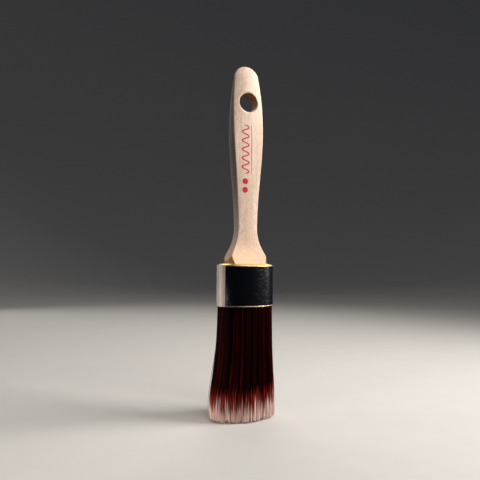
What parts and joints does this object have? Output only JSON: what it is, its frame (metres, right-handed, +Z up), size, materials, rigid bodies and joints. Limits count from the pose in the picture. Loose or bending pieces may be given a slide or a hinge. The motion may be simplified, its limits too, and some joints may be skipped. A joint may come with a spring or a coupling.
{
  "type": "oval stencil brush",
  "caption": "Flat beech handle with a hanging hole, set in an oval brass-coloured ferrule that holds a flared tuft of dark red, pale-tipped filaments.",
  "frame": {"origin": "middle of the flat-trimmed filament tips", "axes": "+Z up the handle from the tips, X the wide way of the oval head, -Y the front face of the handle"},
  "size_m": [0.042, 0.031, 0.2221],
  "materials": {
    "wood": "unvarnished fine-grained beech, matt",
    "ferrule_metal": "polished brass-coloured plate",
    "sleeve_black": "glossy black film, slightly wrinkled",
    "strip_cream": "coated cream paper, satin",
    "resin": "cured clear amber epoxy",
    "plug_wood": "raw softwood",
    "filament": "tapered synthetic filament, dark red fading to cream at the tips"
  },
  "bodies": {
    "root": {"handle": "wood", "ferrule": "ferrule_metal", "label_wrap": "sleeve_black", "label_strip": "strip_cream", "resin_setting": "resin", "spacer_plug": "plug_wood", "tuft_root": "filament"},
    "tuft_upper": {"tuft_upper": "filament"},
    "tuft_middle": {"tuft_middle": "filament"},
    "tuft_lower": {"tuft_lower": "filament"}
  },
  "joints": [
    {"name": "bristle_bend", "type": "hinge", "parent": "root", "child": "tuft_upper", "pos_m": [0, 0, 0.0576], "axis": [1, 0, 0], "range_deg": [-20, 20], "stiffness_Nm_per_rad": 0.4},
    {"name": "bristle_sway", "type": "hinge", "parent": "tuft_upper", "child": "tuft_middle", "pos_m": [0, 0, 0.0376], "axis": [0, 1, 0], "range_deg": [-15, 15], "stiffness_Nm_per_rad": 0.5},
    {"name": "tip_bend", "type": "hinge", "parent": "tuft_middle", "child": "tuft_lower", "pos_m": [0, 0, 0.0186], "axis": [1, 0, 0], "range_deg": [-24, 24], "stiffness_Nm_per_rad": 0.15}
  ],
  "couplings": [
    {"joint": "tip_bend", "follows": "bristle_bend", "ratio": 1.2}
  ]
}
